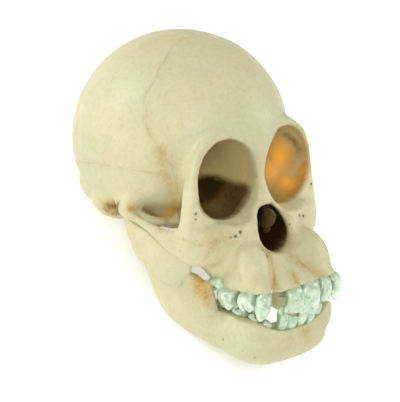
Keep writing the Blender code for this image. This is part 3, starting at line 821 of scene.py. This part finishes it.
def hollowParts(piece, points, out):
    # painted shade: tan, brown and near-black shares of the sockets, the nose, the ears and the small holes
    pairs = zip(socketParts(points, out, -1), socketParts(points, out, 1))
    tanShade, brown, paintedShade = [softened(piece, np.maximum(right, left), 3) for right, left in pairs]
    slope = (nose["top"][1] - nose["sill"][1]) / (nose["top"][2] - nose["sill"][2])
    back = points[:, 1] - (nose["sill"][1] + (points[:, 2] - nose["sill"][2]) * slope)
    high = points[:, 2] - (nose["sill"][2] + nose["top"][2]) / 2
    facing = -(points[:, 0] * out[:, 0] + high * out[:, 2]) / (np.hypot(points[:, 0], high) + 1)
    share = noseShare(points)
    wall = ramp(facing, 0.0, 0.3) * ramp(back, -0.6, 1.0) * (1 - ramp(share, 1.5, 1.8))
    inside = (1 - ramp(share, 1.1, 1.4)) * ramp(back, 3, 7)
    # painted shade: the nose's inner walls and cavity nearly black
    paintedShade = np.maximum(paintedShade, softened(piece, np.maximum(wall, inside) * (points[:, 1] < -8), 1))
    brown = np.maximum(brown, 0.35 * (1 - ramp(share, 1.1, 2.2)) * (points[:, 0] > 2) * (points[:, 1] < -30))
    for side in sides.values():
        for place, reach, strength, low, high in hollows.values():
            shown = 1 - ramp(awayFrom(points, place, reach, side), low, high)
            paintedShade = np.maximum(paintedShade, strength * shown)
        # painted shade in the ear hollows
        hollow = 1 - ramp(awayFrom(points, *earBowl, side), 0.7, 1.1)
        tanShade = np.maximum(tanShade, 0.6 * hollow)
        paintedShade = np.maximum(paintedShade, np.clip(0.25 + 0.6 * noiseAt(points, 2.2, 9), 0, 1) * hollow)
    # painted shade in the small holes
    for place, radius, _ in holeSpots:
        away = np.linalg.norm(points - np.array(place), axis=1)
        paintedShade = np.maximum(paintedShade, 0.75 * (1 - ramp(away, radius * 0.7, radius * 1.5)))
    return tanShade, brown, paintedShade


def addVectors(piece, name, columns):
    made = piece.data.attributes.new(name, "FLOAT_VECTOR", "POINT")
    made.data.foreach_set("vector", np.stack(columns, 1).astype(np.float32).ravel())


# right edge of the front of the upper jaw
premaxillaEdge = [(-8.1, -51.2, 53.3), (-11.3, -57.0, 49.8), (-13.7, -60.9, 45.2), (-16.5, -64.4, 40.7)]
# marks along a line: path, half width in mm, shares of orange, brown and near-black painted shade, share of
# the stains and painted shade wiped off
lineMarks = [
    ([(29, -24.5, 95.5), (31.6, -27, 91.5), (33, -28.5, 87.5), (33.4, -29.3, 83.5)],
     2.4, 0.0, 0.95, 0.3, 0.9),
    ([(34, -30.5, 84), (32.7, -28.2, 79.3), (30.2, -26.1, 75.6)], 2.3, 0, 0, 0, 0.62),
    (premaxillaEdge, 0.9, 0.05, 1, 0.12, 0),
    (premaxillaEdge, 2.8, 0.05, 0.6, 0, 0),
    ([(4.8, -58.8, 46.5), (8.4, -62.9, 42.9), (12.8, -67, 38.1)], 1.5, 0.05, 0.85, 0, 0),
    ([(2, -55.5, 48.5), (6.8, -61.5, 44.5), (12.8, -67, 38.1)], 3.4, 0, 0.6, 0, 0),
    ([(-3, -61.5, 44), (-3.2, -63.5, 42.4), (-3.6, -65.4, 40.6)], 2.2, 0.12, 0.75, 0, 0),
    ([(-46, 0, 68.6), (-40, 0.4, 66.5), (-34, 0, 64), (-32.5, -5.2, 63.8), (-30.8, -10.1, 65),
      (-30.4, -13.9, 69)], 2.2, 0.1, 1.0, 0.1, 0.0),
    ([(-30.8, -10.1, 66), (-30.6, -13.9, 71), (-32, -15, 75)], 3, 0.25, 0.7, 0, 0),
    ([(-39, -13, 98), (-38.5, -14.4, 91), (-36.8, -15.9, 84), (-34.6, -15.9, 76.5)],
     3.4, 0.0, 0.62, 0.0, 0.0),
    ([(-45.2, -13, 67.5), (-45.5, -6, 68.5), (-45, 0, 71)], 1.6, 0, 0.4, 0, 0),
    ([(-41.5, -31, 61), (-37, -37.2, 58.5), (-31.5, -40.8, 60.5)], 0.7, 0, 0.5, 0, 0),
]
# painted shade: greyer places where the skull lies in shade, with place, reach in mm, how strong
paintedShadeMarks = [
    ((0, -34, 108), (34, 20, 20), 0.5), ((26, -28, 104), (16, 16, 14), 0.3),
    ((18, -52, 56), (12, 12, 12), 0.4), ((0, -10, 138), (30, 40, 14), 0.15),
    ((-34, 0, 116), (16, 22, 20), 0.3), ((6, -62, 12), (30, 16, 12), 0.45),
    ((-30, -45, 12), (16, 26, 12), 0.7), ((-40, 10, 88), (12, 22, 12), 0.5),
    ((-38, -14, 80), (8, 10, 14), 0.35), ((-40, -20, 40), (10, 22, 18), 0.3),
    ((-44, 30, 80), (12, 20, 14), 0.6),
]


def markLines(points, orange, brown, paintedShade, tanShade):
    for path, half, orangeShare, brownShare, paintedShadeShare, wiped in lineMarks:
        near, best, _, _, over, _ = nearPath(points, smoothPath(path, 6), 3 * half)
        shown = bell(best, half) * (1 - ramp(over, 0, 1.5 * half))
        for values, share in ((orange, orangeShare), (brown, brownShare), (paintedShade, paintedShadeShare), (tanShade, 0.0)):
            values[near] = np.maximum(values[near] * (1 - wiped * shown), share * shown)


def paintBone(piece, isCranium):
    # the jaw has stains and grey places of painted shade, and the cranium its hollows of painted shade, its
    # painted glow, lines and seams too
    points, out = pointsOf(piece), normalsOf(piece)
    nothing = np.zeros(len(points))
    tanShade, brown, paintedShade = nothing, spotted(points, stainsAndPaintedLight["brown"]), nothing
    orange, grey = spotted(points, stainsAndPaintedLight["orange"]), spotted(points, paintedShadeMarks)
    parts = [(nothing + 4, nothing)] * 2
    if isCranium:
        tanShade, hollowBrownShade, paintedShade = hollowParts(piece, points, out)
        brown = np.maximum(hollowBrownShade, brown)
        # painted glow: orange light inside the left orbit, which the material also lets emit
        paintedGlow = spotted(points, stainsAndPaintedLight["paintedGlow"]) * softened(piece, insideOrbit(points, out, 1), 2)
        orange = np.maximum(orange, paintedGlow)
        markLines(points, orange, brown, paintedShade, tanShade)
        parts = seamParts(points)
    addVectors(piece, "tone", (orange, brown, tanShade))
    addVectors(piece, "seamAndShadeA", (*parts[0], grey))
    addVectors(piece, "seamAndShadeB", (*parts[1], paintedShade))


bone = boneMaterial("bone", boneLook)


def finished(piece, name, material):
    # turned to the way the skull rests, with its place in its mesh
    piece.name = piece.data.name = name
    piece.data.transform(restMatrix)
    piece.data.materials.clear()
    piece.data.materials.append(material)
    onlyActive(piece)
    bpy.ops.object.shade_smooth()
    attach(piece, "root")
    print("finished", name, len(piece.data.polygons))


paintBone(cranium, True)
finished(cranium, "cranium", bone)
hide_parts("braincase", "cheekbone_right", "cheekbone_left", "upper_jaw")

# lower jaw

jawLook = {
    "swell": 0.3, "voxel": 0.75, "rounds": 6, "fineVoxel": 0.55, "band": 4.9, "ramusRounds": 60,
    "relief": ((0.25, 20, 3), (0.09, 6, 9)), "roots": (0.22, 10),
}
# the bone that runs from the ramus up under the cheek arch
underArch = [
    (42, 5.6, 61.2, 2.6, 2.8, 4), (42.4, 1.5, 57.5, 3.4, 4, 5.5), (42.8, -8, 55, 4, 4, 6.5),
    (42.4, -17, 51.8, 4.2, 4, 6.5), (40.4, -25, 48.5, 3.6, 4, 6), (38.2, -29.5, 46.8, 2.6, 3, 4.4),
]
# fills the step from that bone down to the ramus
underFill = [
    (41.2, 0, 51, 3, 4.5, 6.5), (41.2, -8, 47.5, 3.2, 5.5, 7.5), (40.7, -16, 44, 3.2, 5.5, 7.5),
    (39.2, -23, 41.5, 2.8, 5, 6.5),
]
# swells the front edge of the ramus behind the last teeth
behindTeeth = [
    (29.6, -35.5, 27, 3.4, 4.6, 4), (30.2, -35.6, 31.5, 3, 3.6, 4), (30.6, -34.6, 36.5, 2.6, 3, 3.4),
]
jaw = mergedCopy(("lower_jaw",), "jaw")
jaw = joined([jaw, *ridge(underArch), *ridge(underFill), *ridge(behindTeeth)], "jaw")
fused(jaw, jawLook)


def evenRamus(piece, rounds):
    # evens out the outer face of the ramus, so that no fold shows below the arch
    points, out = pointsOf(piece), normalsOf(piece)
    weight = ramp(out[:, 0] * np.sign(points[:, 0]), 0.1, 0.5) * ramp(np.abs(points[:, 0]), 34, 37)
    weight *= ramp(points[:, 2], 30, 36) * ramp(points[:, 1], -34, -28)
    group = piece.vertex_groups.new(name="ramus")
    for index in np.nonzero(weight > 0.01)[0]:
        group.add([int(index)], float(weight[index]), "REPLACE")
    applied(piece, "SMOOTH", factor=0.5, iterations=rounds, vertex_group="ramus")
    piece.vertex_groups.clear()


evenRamus(jaw, jawLook["ramusRounds"])


def rowBand(row, halfWidth, low, high):
    # a ribbon along a tooth row, thickened, that takes the plain crowns off
    left = smoothPath(row, 6)
    line = np.vstack([left[::-1] * np.array([-1, 1, 1]), left[1:]])
    mesh = bpy.data.meshes.new("band")
    places = [Vector(p) * mm + Vector((0, 0, low * mm)) for p in line]
    mesh.from_pydata(places, [(i, i + 1) for i in range(len(line) - 1)], [])
    piece = linked("band", mesh)
    editAll(piece)
    bpy.ops.mesh.extrude_region_move(TRANSFORM_OT_translate={"value": (0, 0, (high - low) * mm)})
    editDone()
    applied(piece, "SOLIDIFY", thickness=2 * halfWidth * mm, offset=0.0)
    outwards(piece)
    return piece


jaw = cutAway(jaw, [rowBand(lowerRow, jawLook["band"], 0.3, 20)])
refined(jaw, jawLook)
jawHoles = [((-22.7, -58.5, 7.2), 0.8, 4), *bothSides([((27.5, -43, 13), 0.9, 5), ((28, -12, 33), 1.4, 5)])]
jaw = cutAway(jaw, holeCutters(jaw, jawHoles))


def sculptJaw(piece, look):
    points, out = pointsOf(piece), normalsOf(piece)
    swelling, rise = look["roots"]
    move = uneven(points, look) + swelling * rootSwellings(points, lowerRow, lowerTeeth, -1, rise)
    setPoints(piece, points + out * move[:, None])


sculptJaw(jaw, jawLook)
stainsAndPaintedLight["brown"] += [
    ((-7.6, -62.4, 11), (12, 3, 5), 0.3), ((10, -62, 12), (10, 3, 5), 0.35),
    ((-30, -30, 30), (4, 8, 8), 0.35), ((-24, -50, 26), (4, 12, 2.5), 0.3),
    *bothSides([((38, 2, 57), (7, 5, 5), 0.35)]),
]
paintBone(jaw, False)
finished(jaw, "lowerJaw", bone)
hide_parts("lower_jaw")

# teeth: three kinds, each modelled once and copied

rootLength = 8.0
# height in shares of the crown's (below 0 down the root, in mm), half width, half thickness, and lean
# outwards in mm
toothShapes = {
    "incisor": [
        (-3.6, 0.36, 0.4, -8), (-2.2, 0.56, 0.5, -5.6), (-0.8, 0.72, 0.7, -2.8),
        (0.04, 0.8, 0.9, -1), (0.16, 0.86, 1, -0.1), (0.36, 0.98, 1, 0.5), (0.62, 1.06, 0.8, 0.9),
        (0.85, 1.05, 0.52, 1.2), (0.97, 0.98, 0.32, 1.3), (1, 0.84, 0.18, 1.3),
    ],
    "canine": [
        (-3.8, 0.36, 0.4, -8), (-2.4, 0.56, 0.5, -5.6), (-0.8, 0.74, 0.7, -2.8),
        (0.04, 0.82, 0.9, -1), (0.14, 0.9, 1, -0.1), (0.36, 1.04, 1, 0.3), (0.58, 0.96, 0.84, 0.6),
        (0.8, 0.62, 0.56, 0.9), (0.94, 0.32, 0.3, 1), (1, 0.12, 0.14, 1),
    ],
    "molar": [
        (-4.4, 0.4, 0.4, -5), (-2.8, 0.6, 0.5, -3.8), (-0.8, 0.8, 0.66, -2.2), (0.06, 0.88, 0.84, -0.9),
        (0.18, 0.96, 0.98, 0), (0.42, 1.05, 1.06, 0.2), (0.68, 1.04, 1, 0.1), (0.88, 0.88, 0.84, 0),
        (0.97, 0.62, 0.6, 0), (0.99, 0.25, 0.25, 0),
    ],
}


def unitHeight(level):
    return level / rootLength if level < 0 else level


def toothBlank(kind):
    # one unit wide, thick and high above the gum, extruded from the root tip to the crown
    stations = toothShapes[kind]
    bpy.ops.object.select_all(action="DESELECT")
    bpy.ops.mesh.primitive_circle_add(vertices=18, radius=1, fill_type="NGON", location=(0, 0, 0))
    piece = bpy.context.object
    editAll(piece)
    level, wide, thick, _ = stations[0]
    height = unitHeight(level)
    bpy.ops.transform.resize(value=(wide, thick, 1), center_override=(0, 0, 0))
    bpy.ops.transform.translate(value=(0, 0, height))
    for nextLevel, nextWide, nextThick, _ in stations[1:]:
        nextHeight = unitHeight(nextLevel)
        bpy.ops.mesh.extrude_region_move(TRANSFORM_OT_translate={"value": (0, 0, nextHeight - height)})
        growth = (nextWide / wide, nextThick / thick, 1)
        bpy.ops.transform.resize(value=growth, center_override=(0, 0, nextHeight))
        height, wide, thick = nextHeight, nextWide, nextThick
    editDone()
    applied(piece, "SUBSURF", levels=2, render_levels=2)
    outwards(piece)
    return piece


def toothMaster(kind):
    piece = toothBlank(kind)
    points = pointsOf(piece) * mm  # unit sizes
    across, outer, height = points.T
    top = ramp(height, 0.6, 0.9)
    if kind == "molar":
        cuspsAt = [(u, v) for u in (-0.48, 0.48) for v in (-0.46, 0.46)]
        cusps = sum(np.exp(-(((across - u) ** 2 + (outer - v) ** 2) / 0.1)) for u, v in cuspsAt)
        cross = np.maximum(bell(across, 0.13), bell(outer, 0.13))
        height = height + top * (0.17 * cusps - 0.15 * cross)
        flank = bell(across, 0.14) * ramp(height, 0.35, 0.7)
        outer = outer * (1 - 0.09 * flank)
        grooveShade = np.maximum(top * cross, 0.7 * flank * (abs(outer) > 0.5))
    elif kind == "incisor":
        lobes = bell(abs(across) - 0.42, 0.1) * ramp(height, 0.35, 0.95) * (outer > 0)
        outer = outer - 0.05 * lobes
        height = height - 0.02 * top * np.cos(across * 7.5)
        grooveShade = 0.35 * lobes
    else:
        grooveShade = 0.2 * bell(abs(across) - 0.5, 0.12) * ramp(height, 0.3, 0.6)
    # painted shade on the sides of each crown towards the neck, between the teeth
    grooveShade = np.maximum(grooveShade, 0.9 * ramp(abs(across), 0.7, 1.0) * (1 - ramp(height, 0.55, 0.95)))
    setPoints(piece, np.stack([across, outer, height], 1) / mm)
    levels, _, _, leans = zip(*toothShapes[kind])
    lean = np.interp(height, [unitHeight(level) for level in levels], leans)
    addVectors(piece, "crown", (height, np.clip(grooveShade, 0, 1), lean))
    return piece


masters = {kind: toothMaster(kind) for kind in toothShapes}


def setTooth(tooth, place, along, out, up, twist, tip, grow, tint, seed):
    kind, width, thick, height = tooth
    piece = linked(kind, masters[kind].data.copy())
    parts = np.empty(len(piece.data.vertices) * 3, np.float32)
    piece.data.attributes["crown"].data.foreach_get("vector", parts)
    parts = parts.reshape(-1, 3).astype(float)
    points = pointsOf(piece) * mm
    points[:, 2] *= np.where(points[:, 2] > 0, height * grow[2], rootLength)
    points[:, :2] *= np.array([width / 2 * grow[0], thick / 2 * grow[1]])
    points[:, 1] += parts[:, 2]
    axes = Matrix((along, out, (0, 0, up))).transposed() @ Matrix.Rotation(math.radians(twist), 3, "Z")
    turned = np.array(axes @ Matrix.Rotation(math.radians(tip), 3, "Y"))
    points = points @ turned.T + place
    wavy = np.stack([noiseAt(points, 3.2, seed + 20 * axis) for axis in range(3)], 1)
    setPoints(piece, points + 0.42 * wavy * ramp(parts[:, :1], -0.1, 0.2))
    parts[:, 2] = tint
    piece.data.attributes["crown"].data.foreach_set("vector", parts.astype(np.float32).ravel())
    return piece


# how single teeth differ from the plain row: along, outwards and towards the root in mm, twist and tip
# in degrees, then shares of their width and height
toothShifts = {
    ("upper", "right", 0): (0.2, 0.3, 0.1, -10, 7, 1.06, 1),
    ("upper", "right", 2): (0.3, 0.5, 0.4, -14, 8, 1.02, 1.12),
    ("upper", "right", 3): (0, 0.9, 0.2, 6, -3, 1.05, 1.18),
    ("upper", "right", 4): (1.8, 1.1, 0.3, -9, 5, 1.34, 1.38),
    ("upper", "right", 5): (-0.8, 1.6, 3.8, 14, -16, 0.85, 0.92),
    ("upper", "left", 0): (0.6, 0.6, 0.4, 10, -7, 1.18, 1.28),
    ("upper", "left", 1): (0.9, 0.5, 0.1, -14, -10, 1.14, 1.02),
    ("upper", "left", 2): (0.2, 1.2, 0.2, 16, -5, 1.3, 1.1),
    ("upper", "left", 3): (0, 1, 0.2, -6, 3, 1.06, 1.24),
    ("upper", "left", 4): (0.3, 1.1, 0.2, 8, -4, 1.16, 1.38),
    ("upper", "left", 5): (0.2, 1, 1.6, -10, 10, 1, 1.25),
    ("lower", "right", 0): (0.4, -0.9, 0.6, -18, -14, 0.98, 0.66),
    ("lower", "right", 1): (-0.2, 0.7, -0.4, 10, 5, 1.02, 1.1),
    ("lower", "right", 2): (0.2, -2.8, 0.6, -8, 4, 0.9, 0.55),
    ("lower", "right", 3): (0, -2.8, 0.4, 8, 4, 0.95, 0.8),
    ("lower", "left", 0): (0.1, -0.2, 0.1, 16, 15, 0.98, 0.8),
    ("lower", "left", 1): (0.2, 0.3, 0.5, -14, -12, 1.02, 0.8),
    ("lower", "left", 2): (0, -1.2, 0.3, 8, -4, 0.95, 0.85),
}


def toothRow(name, row, teeth, up):
    draw = np.random.default_rng({"upper": 4, "lower": 9}[name])
    made = []
    for label, side in sides.items():
        flip = np.array([side, 1, 1])
        for index, ((place, along, out), tooth) in enumerate(zip(rowSpots(row, teeth), teeth)):
            twist, tip, tint = draw.normal(0, 3.5), draw.normal(0, 2.0), draw.random()
            if name == "upper" and (label, index) == teethLook["missing"]:
                continue
            inner = -2.2 if name == "lower" else 0.0
            plain = (0, inner + draw.normal(0, 0.2), draw.normal(0, 0.2), 0, 0, 1.04, 1.0)
            shift = toothShifts.get((name, label, index), plain)
            spot = place + along * shift[0] + out * shift[1] + np.array([0, 0, -up * shift[2]])
            grow = np.array([shift[5], 1.04, shift[6]])
            seed = 7.3 * index + 3.1 * side + 50 * (name == "lower")
            turns = (twist + shift[3], tip + shift[4])
            made.append(setTooth(tooth, spot * flip, along * flip, out * flip, up, *turns, grow, tint, seed))
    row = joined(made, name + "Teeth")
    outwards(row)
    return row


enamel = enamelMaterial(enamelLook)
finished(toothRow("upper", upperRow, upperTeeth, -1), "upperTeeth", enamel)
finished(toothRow("lower", lowerRow, lowerTeeth, 1), "lowerTeeth", enamel)
for master in masters.values():
    bpy.data.objects.remove(master)

# inside the nose: the upright wall and the scrolls on its sides

noseLook = {
    "wall": (0.9, 20, 19),
    "wallAt": (0.6, -24, 60),
    "scroll": (2.2, 6.5, 6.8),
    "scrollsAt": ((7.6, -33.5, 63.0), (8.8, -30, 53.5)),
    "paintedShade": (0.78, 0.98),
}


def noseInside():
    bpy.ops.object.select_all(action="DESELECT")
    bpy.ops.mesh.primitive_cube_add(size=1)
    wall = bpy.context.object
    editAll(wall)
    bpy.ops.mesh.subdivide(number_cuts=11)
    editDone()
    points = pointsOf(wall) * mm * np.array(noseLook["wall"]) + np.array(noseLook["wallAt"])
    points[:, 0] += 0.6 * np.sin(points[:, 2] * 0.35) * np.sin(points[:, 1] * 0.2)
    setPoints(wall, points)
    pieces = [wall]
    for side in sides.values():
        for place in noseLook["scrollsAt"]:
            scroll = unitRound(32, 20)
            points = pointsOf(scroll) * mm * np.array(noseLook["scroll"])
            points[:, 0] -= 0.05 * points[:, 2] ** 2
            points[:, 2] += 0.5 * np.sin(points[:, 1] * 0.5)
            points = points * np.array([side, 1, 1]) + np.array(place) * np.array([side, 1, 1])
            points += 0.5 * noiseAt(points, 2.5, 3)[:, None]
            setPoints(scroll, points)
            pieces.append(scroll)
    piece = joined(pieces, "noseInside")
    outwards(piece)
    points = pointsOf(piece)
    nothing = np.zeros(len(points))
    front, back = noseLook["paintedShade"]
    # painted shade: the inside of the nose brown and tan, and nearly black, more so further back
    addVectors(piece, "tone", (nothing, nothing + 0.6, nothing + 0.8))
    addVectors(piece, "seamAndShadeA", (nothing + 4, nothing, nothing))
    addVectors(piece, "seamAndShadeB", (nothing + 4, nothing, front + (back - front) * ramp(points[:, 1], -38, -30)))
    return piece


finished(noseInside(), "noseInside", bone)

# plain floor, camera and lights

stageLook = {
    "floor": 6.0, "world": 0.5,
    "paper": {
        "Base Color": (0.88, 0.88, 0.88, 1.0), "Roughness": 0.9,
        "Emission Color": (1.0, 1.0, 1.0, 1.0), "Emission Strength": 0.4,
    },
}
bpy.ops.object.select_all(action="DESELECT")
bpy.ops.mesh.primitive_plane_add(size=stageLook["floor"], location=(0, 0, -0.0002))
floor = bpy.context.object
floor.name = "floor"
paper, _, paperShader = newMaterial("paper")
setSockets(paperShader, stageLook["paper"])
floor.data.materials.append(paper)

# seen from the upright skull: degrees, and places in mm
view = {
    "turn": -42.0, "rise": 17.26, "distance": 830.5,
    "aim": (0, 0, 70), "slide": (-2.41, -6.84), "lens": 158.0,
}
turn, rise = math.radians(view["turn"]), math.radians(view["rise"])
backwards = Vector((math.sin(turn) * math.cos(rise), -math.cos(turn) * math.cos(rise), math.sin(rise)))
rightwards = Vector((0, 0, 1)).cross(backwards).normalized()
upwards = backwards.cross(rightwards)
cameraMatrix = Matrix((rightwards, upwards, backwards)).transposed().to_4x4()
slide = rightwards * view["slide"][0] + upwards * view["slide"][1]
cameraMatrix.translation = mm * (Vector(view["aim"]) + slide + backwards * view["distance"])
cameraMatrix = restMatrix @ cameraMatrix
cameraData = bpy.data.cameras.new("camera")
cameraData.sensor_width = 36
cameraData.lens = view["lens"]
cameraData.clip_start = 0.01
camera = linked("camera", cameraData)
camera.matrix_world = cameraMatrix
bpy.context.scene.camera = camera

skullCentre = restMatrix @ (Vector((0, 0, 80)) * mm)
# each light's place seen from the camera: rightwards, upwards and towards it in metres, then size and power
lightLook = {
    "key": ((-0.76, 0.52, 0.16), 0.34, 3.1),
    "side": ((0.72, 0.25, 0.02), 0.4, 2.0),
    "front": ((0.02, 0.06, 0.84), 0.36, 2.9),
}
for name, (offset, size, power) in lightLook.items():
    data = bpy.data.lights.new(name, "AREA")
    data.size = size
    data.energy = power
    lamp = linked(name, data)
    lamp.location = skullCentre + cameraMatrix.to_3x3() @ Vector(offset)
    lamp.rotation_euler = (skullCentre - lamp.location).to_track_quat("-Z", "Y").to_euler()

world = bpy.data.worlds.new("studio")
world.use_nodes = True
world.node_tree.nodes["Background"].inputs[0].default_value = (1, 1, 1, 1)
world.node_tree.nodes["Background"].inputs[1].default_value = stageLook["world"]
bpy.context.scene.world = world
bpy.context.scene.view_settings.view_transform = "Standard"
